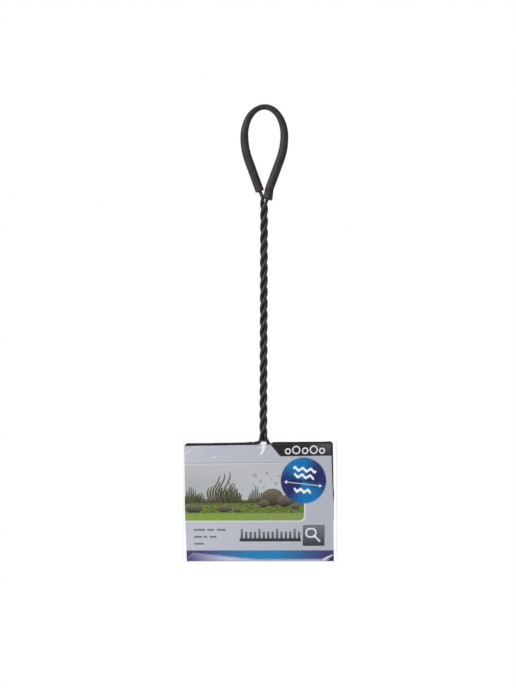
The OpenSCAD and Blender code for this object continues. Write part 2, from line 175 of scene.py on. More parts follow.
# %% Sizes of the wire's route
WIRE_D = 2.9
STRAND_R = 1.77
TWIST_TOP, TWIST_BOTTOM = -72.219, -261.819
PITCH = 28.1139
BAR_Z = -268.119
NECK_X, HANDLE_LEAN = -0.936, math.tan(math.radians(0.2))
HANDLE_SHIFT = 3.5
HOOP_X = NECK_X - HANDLE_SHIFT
HOOP_W, HOOP_H, TOP_R, BOTTOM_R = 114.0, 70.0, 4.5, 10.0
HOOP_TILT = math.radians(0.6)
LOOP_HALF_W, LOOP_TOP_H, LOOP_TOP_Z = 16.0, 23.4, 2.34
SIDE_R, SLANT = 56.0, math.radians(20.2)
LEG_GAP, LEG_END = 4.6, -62.019
NECK_ANGLE = 192.0


def on_strand(z, at_neck):
    """Points of a strand: the strand's radius at the angle at_neck + 360 (z - bottom) / pitch."""
    a = np.radians(at_neck + 360 * (np.asarray(z, float) - TWIST_BOTTOM) / PITCH)
    return np.stack([STRAND_R * np.cos(a), STRAND_R * np.sin(a), np.asarray(z, float) + 0 * a], -1)


def strand_end(z, at_neck, rising=1):
    """A strand's point at a height and the way it goes there, up or, with -1, down."""
    point, turn = on_strand(z, at_neck), 2 * math.pi / PITCH
    return point, rising * np.array([-point[1] * turn, point[0] * turn, 1.0])


def up_strand(at_neck, low, high):
    """A strand from one height to another, with a point every half millimetre."""
    return on_strand(np.linspace(low, high, int((high - low) / 0.5) + 1), at_neck)


# %% The loop and the hoop as paths
def half_loop():
    """The right half of the loop from its top: an oval, an arc of the side radius, and the
    straight leg."""
    widest = LOOP_TOP_Z - LOOP_TOP_H
    a = np.linspace(0, math.pi / 2, 33)
    top = np.stack([LOOP_HALF_W * np.sin(a), 0 * a, widest + LOOP_TOP_H * np.cos(a)], 1)
    a = np.linspace(0, SLANT, 13)[1:]
    side = np.stack([LOOP_HALF_W - SIDE_R * (1 - np.cos(a)), 0 * a, widest - SIDE_R * np.sin(a)], 1)
    leg = np.linspace(side[-1], [LEG_GAP, 0, LEG_END], 12)[1:]
    return np.vstack([top, side, leg])


def tilted(points, neck=NECK_X):
    """Points of the hoop turned about the neck, right side up: x' = x cos - z sin and
    z' = x sin + z cos, both counted from the neck."""
    x, z = points[..., 0] - neck, points[..., 2] - BAR_Z
    c, s = math.cos(HOOP_TILT), math.sin(HOOP_TILT)
    return np.stack([neck + x * c - z * s, points[..., 1], BAR_Z + x * s + z * c], -1)


def on_hoop(x, y, z):
    """Points beside the hoop, with x from its middle and z from its top, tilted as it is."""
    return tilted(np.stack(np.broadcast_arrays(HOOP_X + x, y, BAR_Z + z), -1))


def hoop_corners(inset, turn=10):
    """The four rounded corners of the hoop drawn in by each inset, clockwise from the upper
    right, each as points by insets by 2. A corner's radius is its own less the inset, 0.6 mm
    at least, but outside the wire the cloth makes the top corners squarer."""
    a = np.atleast_1d(np.asarray(inset, float))
    w, h = HOOP_W / 2 - a, HOOP_H
    top = np.maximum(np.where(a < 0, TOP_R + 0.9 * a, TOP_R - a), 0.6)
    low = np.maximum(BOTTOM_R - a, 0.6)

    def quarter(x, z, r, start):
        angle = np.radians(start - np.linspace(0, 90, turn))[:, None]
        return np.stack([x + r * np.cos(angle), z + r * np.sin(angle)], -1)

    return [quarter(w - top, -a - top, top, 90), quarter(w - low, a + low - h, low, 0),
            quarter(low - w, a + low - h, low, -90), quarter(top - w, -a - top, top, 180)]


right_half = half_loop()
loop_path = np.vstack([(right_half * [-1, 1, 1])[::-1], right_half[1:]])
hoop_x, hoop_z = np.vstack([corner[:, 0] for corner in hoop_corners(0)])[::-1].T
hoop_path = tilted(np.column_stack([hoop_x - HANDLE_SHIFT, 0 * hoop_x, hoop_z + BAR_Z]), neck=0)
print("points on the loop and the hoop:", len(loop_path), len(hoop_path))

# %% The whole route of the wire
left_neck, right_neck, free_neck = NECK_ANGLE, NECK_ANGLE + 120, NECK_ANGLE + 240
start_z = TWIST_TOP - WIRE_D / 2
join_z = TWIST_TOP - 0.17 * PITCH
flare_top = TWIST_BOTTOM + 2.0
bar_left, bar_right = tilted(np.array([[-13.0, 0.0, BAR_Z], [6.3, 0.0, BAR_Z]]), neck=0)
# From here on an end of a bend is a point and the way that the wire goes there.
left_flare = np.array([-4.3, 0, BAR_Z + 1.8]), [-1, 0, -0.12]
right_flare = np.array([2.8, -0.7, BAR_Z + 3.8]), [-0.7, -0.2, 1]
short_end = np.array([0.5, 2.4, BAR_Z + 2.8]), [0, 0.2, -1]
left_sleeve_end = np.array([-LEG_GAP + 3.2 * math.tan(SLANT), 0, LEG_END - 3.2])
right_sleeve_end = np.array([2.7, -2.4, LEG_END - 9.8])
crossing = [-0.3, 0, -1]
cross_point = right_sleeve_end + [-0.45, 0.45, 0], crossing
leg_up = np.array([-math.sin(SLANT), 0, math.cos(SLANT)])
right_leg = np.array([LEG_GAP, 0, LEG_END]), leg_up * [1, 1, -1]
bare_leg = blend(strand_end(TWIST_TOP, right_neck), (left_sleeve_end, leg_up), 14)

route = np.vstack([
    up_strand(left_neck, TWIST_BOTTOM, start_z)[::-1],
    blend(strand_end(TWIST_BOTTOM, left_neck, -1), left_flare, 14),
    blend(left_flare, (bar_left, [-1, 0, 0]), 12),
    hoop_path,
    [bar_right],
    blend((bar_right, [-1, 0, 0]), right_flare, 12),
    blend(right_flare, strand_end(flare_top, right_neck), 12),
    up_strand(right_neck, flare_top, TWIST_TOP)[1:],
    bare_leg,
    loop_path,
    blend(right_leg, cross_point, 14),
    blend(cross_point, strand_end(join_z, free_neck, -1), 10),
    up_strand(free_neck, TWIST_BOTTOM, join_z)[::-1][1:],
    blend(strand_end(TWIST_BOTTOM, free_neck, -1), short_end, 10),
])


def placed(path):
    """Moves a route to its place: the neck's x, and the handle's lean above the hoop."""
    lean = np.maximum(path[:, 2] - BAR_Z, 0) * HANDLE_LEAN
    return path + np.stack([NECK_X + lean, 0 * lean, 0 * lean], 1)


def spaced(path, least=0.12):
    """The path without points that lie on the one before."""
    keep = np.concatenate([[True], np.linalg.norm(np.diff(path, axis=0), axis=1) > least])
    return path[keep]


wire_path = spaced(placed(route))
print("wire:", len(wire_path), "rings,", round(run_of(wire_path)[-1], 1), "mm long")

# %% The coating and the steel inside it
def closed_ends(path, radius, rim=0.35, steps=4):
    """Radii along a path that is lengthened a little at both ends, so that the radius rounds
    off there: radius - rim (1 - cos a) as a goes over the last quarter turn."""
    first, last = unit(path[0] - path[1]), unit(path[-1] - path[-2])
    a = np.linspace(0, math.pi / 2, steps + 1)[1:]
    head = path[0] + first * (rim * np.sin(a))[::-1, None]
    tail = path[-1] + last * (rim * np.sin(a))[:, None]
    fall = rim * (1 - np.cos(a))
    radii = np.concatenate([radius - fall[::-1], np.full(len(path), radius), radius - fall])
    return np.vstack([head, path, tail]), radii


CORE_R = 0.95
coat_path, coat_r = closed_ends(wire_path, WIRE_D / 2)
wire_coat = surface("coated_wire", tube(coat_path, coat_r, coat_r, 16), along=run_of(coat_path),
                    around=np.linspace(0, WIRE_D * math.pi, 17), wrap=True, caps=True, sharp=40)
core_path, core_r = closed_ends(wire_path[::2], CORE_R, 0.5)
steel_core = surface("steel_wire", tube(core_path, core_r, core_r, 10), wrap=True, caps=True, sharp=40)
print("rings of the core:", len(core_path))

# %% [markdown]
# ## The finger loop's sleeve
# A soft vinyl tube is pushed over the loop before the wire is closed. It grips the wire, is
# pulled a little flat over the top bend, and ends squarely on each leg, lower on the right one
# because that leg crosses in front. It is a tube with a real bore, made as one closed grid:
# the outside, the end, the bore and the other end follow each other round.

# %% Sleeve
SLEEVE_R, SLEEVE_WALL, SLEEVE_SIDES = 3.25, 0.75, 24
FLAT, LOOSE, OVAL = 0.28, 0.08, 0.06
sleeve_path = placed(np.vstack([
    [left_sleeve_end], np.linspace(left_sleeve_end, loop_path[0], 5)[1:-1], loop_path,
    blend(right_leg, (right_sleeve_end, crossing), 14),
]))


def flattening(z):
    """How flat the tube is: none at the legs, most at the top, by the fourth power of height."""
    return FLAT * np.clip((z - LEG_END) / (LOOP_TOP_Z - LEG_END), 0, 1) ** 4


bare_wire = placed(np.vstack([up_strand(right_neck, TWIST_TOP - 4, TWIST_TOP), bare_leg]))


def dented(points, keep):
    """Points kept away from the left leg's bare wire: a point nearer to its middle line than
    keep moves straight away from it, as soft vinyl is pushed in where the two cross."""
    away = points[..., None, :] - bare_wire
    near = np.linalg.norm(away, axis=-1).argmin(-1)[..., None, None]
    away = np.take_along_axis(away, near, -2)[..., 0, :]
    far = np.linalg.norm(away, axis=-1, keepdims=True)
    return points + away * np.clip(keep / far - 1, 0, None)


def sleeve_rings():
    """Outer rings from end to end, then bore rings back again. The radii grow by 8 percent
    down the legs, where the tube isn't stretched, and the right end is pressed a little oval."""
    z = sleeve_path[:, 2]
    f, run = flattening(z), run_of(sleeve_path)
    ripple = 0.02 * np.sin(run / 3.1) + 0.015 * np.sin(run / 1.7 + 1)
    r = SLEEVE_R * (1 + LOOSE * np.clip((-8 - z) / 30, 0, 1)) + ripple
    pressed = OVAL * np.clip((LEG_END - 1 - z) / 7, 0, 1)
    across, up = r * (1 - f + pressed), r * (1 + f / 2 - pressed / 2)
    ends = np.r_[0, 0, 0:len(z), len(z) - 1, len(z) - 1]
    fall = np.zeros(len(ends))
    fall[[0, -1]] = 0.5 * SLEEVE_WALL
    fall[[1, -2]] = 0.12
    outer = tube(sleeve_path, across, up, SLEEVE_SIDES)[ends]
    centre = sleeve_path[ends][:, None]
    outer = dented(centre + (outer - centre) * (1 - fall / SLEEVE_R)[:, None, None], 1.5)
    bore = tube(sleeve_path, across - SLEEVE_WALL, up - SLEEVE_WALL, SLEEVE_SIDES)[::-1]
    bore = dented(bore, 1.8)
    return np.concatenate([outer, bore, outer[:1]])


grip_sleeve = surface("loop_sleeve", sleeve_rings(), wrap=True, sharp=60)
print("sleeve:", round(run_of(sleeve_path)[-1], 1), "mm long")

# %% [markdown]
# ## The hoop's outline at any distance
# The hem, its stitching and the netting's edge all follow the hoop. One function gives the
# hoop's outline drawn in by any distance, with the same number of points each time, so that
# rows at different distances make a clean grid round the corners too.

# %% Outlines of the hoop
NECK_LEFT, NECK_RIGHT = 9.0, 7.2


def hoop_line(inset, nearer=0.0, straight=60, turn=10):
    """The hoop's outline drawn in by each inset, clockwise from the right of the neck to its
    left, as points by insets by 2. Straight stretches are cut evenly, and both ends come
    nearer to the neck by the distance given."""
    a = np.atleast_1d(np.asarray(inset, float))
    start = np.stack([HANDLE_SHIFT + NECK_RIGHT - nearer + 0 * a, -a], -1)
    end = np.stack([HANDLE_SHIFT - NECK_LEFT + nearer + 0 * a, -a], -1)
    parts, last = [], start[None]
    for corner in hoop_corners(a, turn):
        parts += [np.linspace(last[-1], corner[0], straight)[:-1], corner]
        last = corner
    return np.concatenate(parts + [np.linspace(last[-1], end, straight)[1:]])


print("hoop outline points:", len(hoop_line(0)))

# %% [markdown]
# ## The hem
# A band of woven cloth is folded over the wire and sewn to itself and to the netting. The band
# is a thin cloth, so it is one sheet: flat in front, round the wire, and flat behind. It
# puckers where the thread draws it in, most of all at the corners. It is pushed out a little
# at both sides, and it ends in raw edges beside the neck, the left one higher.

# %% Hem
HEM_R, HEM_HALF, HEM_DEPTH, HEM_CLOTH = 2.2, 0.58, 6.0, 0.45


def hem_grid():
    """The band's profile, as inset from the wire and depth y, carried along the hoop. Puckers
    are sines of the distance s along it, strongest near the stitch line at 4.1 mm. Near the
    wire, where slack is 1, the top edge sags by other sines and its left end rises by 1.3 mm,
    and both sides bulge round some heights."""
    meet = math.asin(HEM_HALF / HEM_R)
    a = np.linspace(math.pi - meet, meet - math.pi, 21)
    flat = np.linspace(HEM_DEPTH, HEM_R * math.cos(meet) + 0.25, 7)
    inset = np.concatenate([flat, -HEM_R * np.cos(a), flat[::-1]])
    depth = np.concatenate([0 * flat - HEM_HALF, -HEM_R * np.sin(a), 0 * flat + HEM_HALF])
    line = hoop_line(inset)
    x, z = line[..., 0], line[..., 1]
    s = run_of(line[:, len(inset) // 2])[:, None]
    pucker = 0.09 * np.sin(s * 1.56) + 0.07 * np.sin(s * 0.61 + 1.3) + 0.05 * np.sin(s * 2.37 + 0.4)
    slack = hill(inset, 0.4, 2.6)
    y = depth * (1 + pucker * slack / 2) + pucker / 2 * (1 - slack) * hill(inset, 5.6, 2)
    sag = 0.22 * np.sin(s * 0.11 + 0.8) + 0.12 * np.sin(s * 0.29) + 1.3 * hill(s, s[-1], 3.2)
    sag = sag + (0.4 * x / (HOOP_W / 2) - 0.1) * (inset < 0.5)
    wide = np.where(x > 0, 0.5 * hill(z, -36, 20) + 0.9 * hill(z, -40, 4), -1.3 * hill(z, -47, 4.5) - 0.4)
    wide = wide * slack * np.clip(np.abs(x) - 50, 0, 5) / 5
    edge = 0.18 * np.sin(s * 0.9 + 2) * hill(inset, HEM_DEPTH, 1.2)
    grid = on_hoop(x + edge * np.sign(-x) + wide, y, z + sag * hill(z, 0, 8) * slack)
    width = run_of(np.column_stack([inset, depth]))
    return grid[:, ::-1], s[:, 0], width


hem_points, hem_run, hem_width = hem_grid()
hem = surface("hem_band", hem_points, along=hem_run, around=hem_width)
thicken(hem, HEM_CLOTH, -1)
print("hem:", round(hem_run[-1], 1), "mm long,", round(hem_width[-1], 2), "mm wide when flat")

# %% [markdown]
# ## The stitching
# A running stitch goes in front of the band and behind it by turns. One thread does this with
# a wave: its depth swings between the front and the back, and stays long at each side.

# %% Thread
STITCHES, STITCH_INSET, THREAD_R = 88, 4.14, 0.17


def thread_path():
    """The outline at the stitch line. With w = sin(turn), a whole turn for two stitches, the
    depth is 0.15 - 0.93 tanh(4 w) - 0.12 w^3, so that the wave has flat tops and steep sides."""
    line = hoop_line(STITCH_INSET, 1.2, straight=200, turn=24)[:, 0]
    run = run_of(line)
    s = np.linspace(0, run[-1], STITCHES * 16)
    x, z = np.interp(s, run, line[:, 0]), np.interp(s, run, line[:, 1])
    w = np.sin(math.pi * s / (run[-1] / STITCHES))
    wander = 0.12 * np.sin(s * 0.37) + 0.06 * np.sin(s * 1.3)
    return on_hoop(x, 0.15 - 0.93 * np.tanh(4 * w) - 0.12 * w**3, z + wander * hill(z, 0, 12))


thread_rings = tube(thread_path(), THREAD_R, THREAD_R, 6, reference=(0.12, 1.0, 0.07))
thread = surface("hem_stitching", thread_rings, wrap=True, caps=True)
print("stitches:", STITCHES)

# %% [markdown]
# ## The net bag
# The bag is one piece of fine soft netting, folded in half, sewn up at both sides and sewn by
# its mouth to the hem. In the packet it lies folded flat behind the hoop in five layers. Its
# path down, up and down again is the same as the solid's, and small waves let the layers
# breathe. The mesh itself is far too fine to model thread by thread, so the sheet is smooth
# and its material opens the holes.

# %% Folded netting
MESH_T, LAYERS, STEP = 0.3, 5, 0.8
SETBACK, FOLD_ROOM, SEAM_W = 1.1, 4.1, 1.2
HEM_BACK = 0.6
MOUTH_Y = HEM_BACK + MESH_T / 2
BAG_FIRST = HEM_BACK + MESH_T + SETBACK + MESH_T / 2
BAG_HIGH, BAG_LOW = -HEM_DEPTH - FOLD_ROOM, HEM_DEPTH + FOLD_ROOM - HOOP_H


def bag_route():
    """The sheet's path as depth and height: from the flange back to the first layer, then down
    and up with a half turn of half the layer step at each fold, and back to the flange."""
    a = np.linspace(0, math.pi, 8)[1:-1]
    parts = [[[MOUTH_Y, 0.2 - HEM_DEPTH], [MOUTH_Y, -HEM_DEPTH - 0.3]]]
    r = STEP / 2
    for i in range(LAYERS):
        y, way = BAG_FIRST + i * STEP, -1 if i % 2 == 0 else 1
        top = BAG_HIGH + (r if i == 0 else 0)
        low = BAG_LOW - (r if i == LAYERS - 1 else 0)
        ends = (top, low) if way < 0 else (low, top)
        parts.append(np.column_stack([np.full(46, y), np.linspace(*ends, 46)]))
        if i < LAYERS - 1:
            parts.append(np.column_stack([y + r * (1 - np.cos(a)), ends[1] + way * r * np.sin(a)]))
    parts.append([[MOUTH_Y, 0.3 - HOOP_H + HEM_DEPTH], [MOUTH_Y, HEM_DEPTH - HOOP_H - 0.2]])
    return np.vstack(parts)


def bag_grid(x):
    """The route at each x. Waves of up to 0.16 mm in depth die out at the seams and the mouth,
    and the folds rise and fall by about a millimetre."""
    route = bag_route()
    s = run_of(route)
    inside = np.clip(np.minimum(s, s[-1] - s) / 25, 0, 1)[:, None]
    calm = inside * np.clip((52 - np.abs(x)) / 14, 0, 1)[None]
    ss, xx = s[:, None], x[None]
    wave = 0.10 * np.sin(xx * 0.42 + ss * 0.07) + 0.06 * np.sin(xx * 0.93 - ss * 0.11 + 2)
    middle = (BAG_HIGH + BAG_LOW) / 2
    sway = 1 - calm * (0.012 + 0.012 * np.sin(xx * 0.16 + ss * 0.05))
    z = middle + (route[:, 1][:, None] - middle) * sway
    y = route[:, 0][:, None] + wave * calm
    return on_hoop(xx, y, z), s


INNER_HALF = HOOP_W / 2 - HEM_DEPTH
bag_x = np.linspace(SEAM_W - INNER_HALF, INNER_HALF - SEAM_W, 86)
bag_points, bag_run = bag_grid(bag_x)
net = surface("net_bag_netting", bag_points, along=bag_run, around=bag_x)
print("netting:", round(bag_run[-1], 1), "mm along its folds")

# %% The netting's edge behind the hem
flange_inset = np.linspace(2.7, HEM_DEPTH + 0.2, 5)
flange_line = hoop_line(flange_inset, 1.0)
flange_points = on_hoop(flange_line[..., 0], MOUTH_Y, flange_line[..., 1])
flange = surface("net_bag_flange", flange_points, along=run_of(flange_points[:, 0]),
                 around=flange_inset)
print("flange:", flange_inset[0], "to", flange_inset[-1], "mm inside the wire")

# %% [markdown]
# ## The side seams
# At each side the front and the back of the netting are sewn together with an overlocked edge,
# a narrow roll of thread. It follows the same folds as the bag, so it is the bag's route again
# with a small flat roll carried along it.

# %% Seams
def seam_roll(x, points=700, trim=4):
    """A flat oval, about 1.2 by 0.4 mm, along the bag's route at x, with a swell at each
    stitch, 1.6 mm apart."""
    route = bag_route()
    s = run_of(route)
    even = np.linspace(0, s[-1], points)
    y, z = np.interp(even, s, route[:, 0]), np.interp(even, s, route[:, 1])
    even, path = even[trim:-trim], on_hoop(x, y, z)[trim:-trim]
    swell = 1 + 0.10 * np.sin(even * 2 * math.pi / 1.6)
    return tube(path, 0.21 * swell, 0.58 * swell, 8, reference=(1.0, 0.0, 0.0)), even


seams = []
for name, side in (("side_seam_roll_left", -1), ("side_seam_roll_right", 1)):
    rings, run = seam_roll(side * (INNER_HALF - SEAM_W / 2))
    seams.append(surface(name, rings, along=run, around=np.linspace(0, 3, 9), wrap=True, caps=True))
print("seams:", [seam.name for seam in seams])

# %% [markdown]
# ## The card
# The printed card is one strip of board, folded under the hoop so that it covers the net in
# front and behind. It lies a little askew in its bag, leaning to the right as it goes down, and
# it bows slightly over the hoop. The sheet's middle is a grid, and its thickness comes after,
# so the cut edges can show the white board.

# %% Folded card
CARD_T, CARD_FRONT, CARD_BACK = 0.4, 2.58, 5.8
CARD_X, CARD_TOP, CARD_H, CARD_HALF_W = -5.455, -268.319, 93.1, 58.75
CARD_LEAN, CARD_WIDER, CARD_TURN_X = 0.0233, 0.5, -4.7


def fold_profile(r, drop, flats, turns):
    """Depth, height and distance along a sheet that is folded once: down the front at -r,
    half a turn of radius r, and up the back at +r."""
    a = np.linspace(0, math.pi, turns)[1:-1]
    down = np.linspace(0, drop, flats)
    y = np.concatenate([np.full(flats, -r), -r * np.cos(a), np.full(flats, r)])
    z = -np.concatenate([down, drop + r * np.sin(a), down[::-1]])
    return y, z, run_of(np.column_stack([y, z]))


def card_grid():
    """The folded sheet, with u across it from the left edge. The panels bow by 0.1 mm, and the
    whole sheet is skewed: x moves right by CARD_LEAN times the depth below the top. Half way
    down, each side stands CARD_WIDER further out. The top edge rises by 1.8 percent of the
    distance to the right, and that fades by a factor e every 30 mm down, so the foot lies
    level."""
    r = (CARD_FRONT + CARD_BACK + CARD_T) / 2
    drop = CARD_H - CARD_T / 2 - r
    y, z, s = fold_profile(r, drop, 60, 20)
    u = np.linspace(0, 2 * CARD_HALF_W, 80)
    flat = np.where(z >= -drop, np.sin(-math.pi * z / drop), 0)[:, None]
    bow = 0.10 * flat * np.sin(math.pi * u / u[-1]) + 0.04 * np.sin(u / 9.0 + s[:, None] / 17)
    y, z = y[:, None], z[:, None]
    x = CARD_X - CARD_HALF_W + u - CARD_LEAN * z
    x = x + CARD_WIDER * (u / CARD_HALF_W - 1) * hill(z, -52, 22)
    depth = (CARD_BACK - CARD_FRONT) / 2 + y + np.sign(y) * bow * np.minimum(1, np.abs(y) / r)
    height = CARD_TOP + 0.4 * np.exp(z / 20) + z + 0.018 * np.exp(z / 30) * (x - CARD_TURN_X)
    return np.stack([x, depth, height], -1), s, u


card_points, card_run, card_u = card_grid()
card = surface("packet_card", card_points[:, ::-1], along=card_run, around=card_u[::-1])
board = thicken(card, CARD_T, 0)
board.material_offset, board.material_offset_rim = 1, 2
print("card:", round(card_run[-1], 1), "mm round its fold,", 2 * CARD_HALF_W, "mm wide")

# %% [markdown]
# ## The film bag
# The bag is thin clear film, welded into a fin at each side, folded at the bottom and open at
# the top. Film this thin is one surface. It has no thickness that anyone could see, but it has
# creases: short ridges where the film was pinched, with bright glints along them. The creases
# are listed as lines on the front, and the same list makes the ridge in the mesh and a mark
# that the material reads to paint the film white there as painted glints.

# %% Film bag
FILM_TOP, FILM_H, FILM_L, FILM_R = -263.719, 98.0, -65.2, 58.34
FILM_FRONT, FILM_BACK, FILM_WELD, CREASE_RISE = -3.36, 6.58, 2.2, 0.16
# Each crease: where it starts and ends, as x and z, its half width, and its strength.
# The lines lie where the film shows bright glints, and the material paints the film white along them: painted
# glints.
CREASES_AND_GLINTS = [
    ((-0.2, -266.3), (-1.2, -272.6), 2.6, 1.0), ((0.9, -269.0), (-3.5, -277.1), 1.7, 1.0),
    ((-0.5, -270.3), (-7.0, -270.1), 0.8, 0.8), ((-9.0, -270.4), (-12.6, -270.2), 0.7, 0.5),
    ((1.2, -267.8), (4.6, -269.4), 0.8, 0.6),
    ((-62.1, -275.4), (-57.4, -270.2), 0.8, 0.8), ((-68.0, -270.2), (-41.0, -268.6), 1.3, 0.52),
    ((-43.0, -278.2), (-36.0, -277.4), 0.7, 0.8), ((44.4, -360.6), (55.8, -355.2), 1.0, 1.0),
    ((-60.7, -354.5), (-20.2, -357.0), 0.8, 0.4), ((-20.2, -357.0), (35.8, -359.8), 0.6, 0.35),
    ((44.8, -266.5), (55.3, -272.0), 0.4, 0.4), ((9.8, -264.5), (43.8, -266.0), 0.4, 0.3),
]


def crease_at(x, z):
    """How strongly each point lies on a crease: for every line, hill(distance, 0, width), which
    fades to its ends by the root of a sine."""
    most = np.zeros(np.broadcast(x, z).shape)
    for (x0, z0), (x1, z1), width, strength in CREASES_AND_GLINTS:
        along = ((x - x0) * (x1 - x0) + (z - z0) * (z1 - z0)) / ((x1 - x0) ** 2 + (z1 - z0) ** 2)
        along = np.clip(along, 0, 1)
        away = np.hypot(x - x0 - along * (x1 - x0), z - z0 - along * (z1 - z0))
        fade = np.sin(math.pi * np.clip(along, 0.08, 0.92)) ** 0.5
        most = np.maximum(most, strength * hill(away, 0, width) * fade)
    return most


def film_grid():
    """Front, bottom fold and back, as the card's, but drawn together to a fin at each side by
    1 - (1 - d / FILM_WELD)^3 of the distance d from the fin. Waves of 0.1 mm and the creases
    stand out from it, and the mouth's edge is wavy."""
    r, middle = (FILM_BACK - FILM_FRONT) / 2, (FILM_BACK + FILM_FRONT) / 2
    y, z, s = fold_profile(r, FILM_H - r, 120, 22)
    width = FILM_R - FILM_L
    edge = np.concatenate([np.linspace(0, 3.5, 12), np.linspace(3.5, width - 3.5, 150)[1:-1],
                           width - np.linspace(3.5, 0, 12)])
    x, d = FILM_L + edge, np.minimum(edge, edge[-1] - edge)
    full = np.maximum(1 - np.clip(1 - d / FILM_WELD, 0, 1) ** 3, 0.012)
    y, z, ss = y[:, None], z[:, None], s[:, None]
    wavy = 0.5 * np.sin(x * 0.09 + 1.0) + 0.3 * np.sin(x * 0.23) + 0.5 * hill(x, 0.5, 3.2)
    height = FILM_TOP + z + hill(z, 0, 4) * (wavy * 0.6 - 0.3)
    crease = crease_at(x, height) * (y < 0)
    wave = 0.06 * np.sin(x * 0.31 + ss * 0.05) + 0.05 * np.sin(x * 0.12 - ss * 0.17)
    depth = middle + (y + np.sign(y) * (wave + CREASE_RISE * crease)) * full
    return np.stack([x + 0 * height, depth, height], -1), s, x, crease


film_points, film_run, film_x, film_crease_and_glint = film_grid()
film = surface("clear_film_bag", film_points[:, ::-1], along=film_run, around=film_x[::-1])
# The crease attribute tells the material where to paint white glints.
mark = film.data.attributes.new("crease", "FLOAT", "POINT")
mark.data.foreach_set("value", film_crease_and_glint[:, ::-1].ravel())
print("film:", len(film_x), "by", len(film_run), "points")

# %% [markdown]
# ## Helpers for materials
# Materials are node trees. A small class lets their formulas be written with the usual signs,
# and short functions add a node, mix two colours or map one range to another. Colours are
# given as they look on a screen and turned into the linear values that the shader works with.

# %% Values with the usual signs
class Value:
    """A value that a node tree works out. The signs + - * / and % and abs() each add one Math
    node, so a shader's formula reads like any other."""

    def __init__(self, socket):
        self.socket, self.tree = socket, socket.id_data

    def __add__(self, other):
        return calc("ADD", self, other)

    def __sub__(self, other):
        return calc("SUBTRACT", self, other)

    def __rsub__(self, other):
        return calc("SUBTRACT", other, self)

    def __mul__(self, other):
        return calc("MULTIPLY", self, other)

    def __truediv__(self, other):
        return calc("DIVIDE", self, other)

    def __mod__(self, other):
        return calc("MODULO", self, other)

    def __abs__(self):
        return calc("ABSOLUTE", self)

    __radd__, __rmul__ = __add__, __mul__


def node(kind, inputs, tree=None, **settings):
    """A shader node with its settings, in the tree given or else in its inputs' tree. Each
    input is given a number, a colour or a Value."""
    tree = tree or next(v.tree for v in inputs.values() if isinstance(v, Value))
    made = tree.nodes.new("ShaderNode" + kind)
    for key, value in settings.items():
        setattr(made, key, value)
    for key, value in inputs.items():
        if isinstance(value, Value):
            tree.links.new(value.socket, made.inputs[key])
        else:
            made.inputs[key].default_value = value
    return made


def value_of(kind, inputs, out=0, **settings):
    """The value at one output of a new node."""
    return Value(node(kind, inputs, **settings).outputs[out])


def calc(operation, *values, clamp=False):
    """One sum of numbers and Values."""
    return value_of("Math", dict(enumerate(values)), operation=operation, use_clamp=clamp)


def sine(x):
    return calc("SINE", x)


def most_of(a, b):
    return calc("MAXIMUM", a, b)


def length_of(x, y):
    """The square root of x^2 + y^2."""
    return calc("SQRT", x * x + y * y)


# %% Colours, ranges and groups
def rgb(red, green, blue):
    """A linear colour from 0 to 255 screen values: ((v + 0.055) / 1.055) to the power 2.4."""
    v = [c / 255 for c in (red, green, blue)]
    return tuple(c / 12.92 if c < 0.0404 else ((c + 0.055) / 1.055) ** 2.4 for c in v) + (1.0,)


def mixed(share, a, b):
    """Colour a where the share is 0 and colour b where it is 1."""
    return value_of("Mix", {0: share, 6: a, 7: b}, out=2, data_type="RGBA")


def ramp(value, low, high, to_low=0.0, to_high=1.0):
    """Maps low..high to to_low..to_high, and stays inside them."""
    return value_of("MapRange", {0: value, 1: low, 2: high, 3: to_low, 4: to_high})


def scaled(vector, by):
    """A vector with each of its parts times a number."""
    return value_of("VectorMath", {0: vector, 1: by}, operation="MULTIPLY")


def in_mm(uv):
    """Places on a UV map in millimetres."""
    return scaled(uv, (1 / UV_PER_MM,) * 3)


def parts_of(vector):
    """The x and the y of a vector."""
    made = node("SeparateXYZ", {0: vector})
    return Value(made.outputs[0]), Value(made.outputs[1])


def noise_at(vector, scale, detail, out=0, **more):
    """Soft noise at each place."""
    return value_of("TexNoise", {"Vector": vector, "Scale": scale, "Detail": detail, **more}, out=out)


def feed(value, socket):
    value.tree.links.new(value.socket, socket)


def bumped(height, strength, distance_mm):
    """A normal from a height. The distance is how far full height stands out."""
    return value_of("Bump", {"Height": height, "Strength": strength, "Distance": distance_mm * MM})


def new_group(name, inputs, outputs):
    """A node group whose inputs and outputs are given as names with kinds. Gives the group,
    the values that come in, and the sockets that go out."""
    tree = bpy.data.node_groups.new(name, "ShaderNodeTree")
    for way, sockets in (("INPUT", inputs), ("OUTPUT", outputs)):
        for label, kind in sockets.items():
            tree.interface.new_socket(label, in_out=way, socket_type="NodeSocket" + kind)
    start, end = tree.nodes.new("NodeGroupInput"), tree.nodes.new("NodeGroupOutput")
    return tree, {socket.name: Value(socket) for socket in start.outputs}, end.inputs


def use(group, **inputs):
    """Places a group and gives its outputs by name; an input's name has _ for each space."""
    made = node("Group", {k.replace("_", " "): v for k, v in inputs.items()}, node_tree=group)
    return {socket.name: Value(socket) for socket in made.outputs}


def new_material(name, **values):
    """A material with one Principled shader, whose sockets are set by name. Gives the
    material, the shader's inputs, and the places that a pattern can follow."""
    made = bpy.data.materials.new(name)
    made.use_nodes = True
    shader = made.node_tree.nodes["Principled BSDF"]
    for key, value in values.items():
        shader.inputs[key.replace("_", " ")].default_value = value
    places = node("TexCoord", {}, tree=made.node_tree).outputs
    return made, shader.inputs, {socket.name: Value(socket) for socket in places}


# %% [markdown]
# Handled plastic and cloth are never one even colour. Two groups give every finish that: one
# mottles a colour and its gloss in soft patches, and one draws crossed threads, for the hem's
# tape and for the stitching. Most finishes are the first group alone.

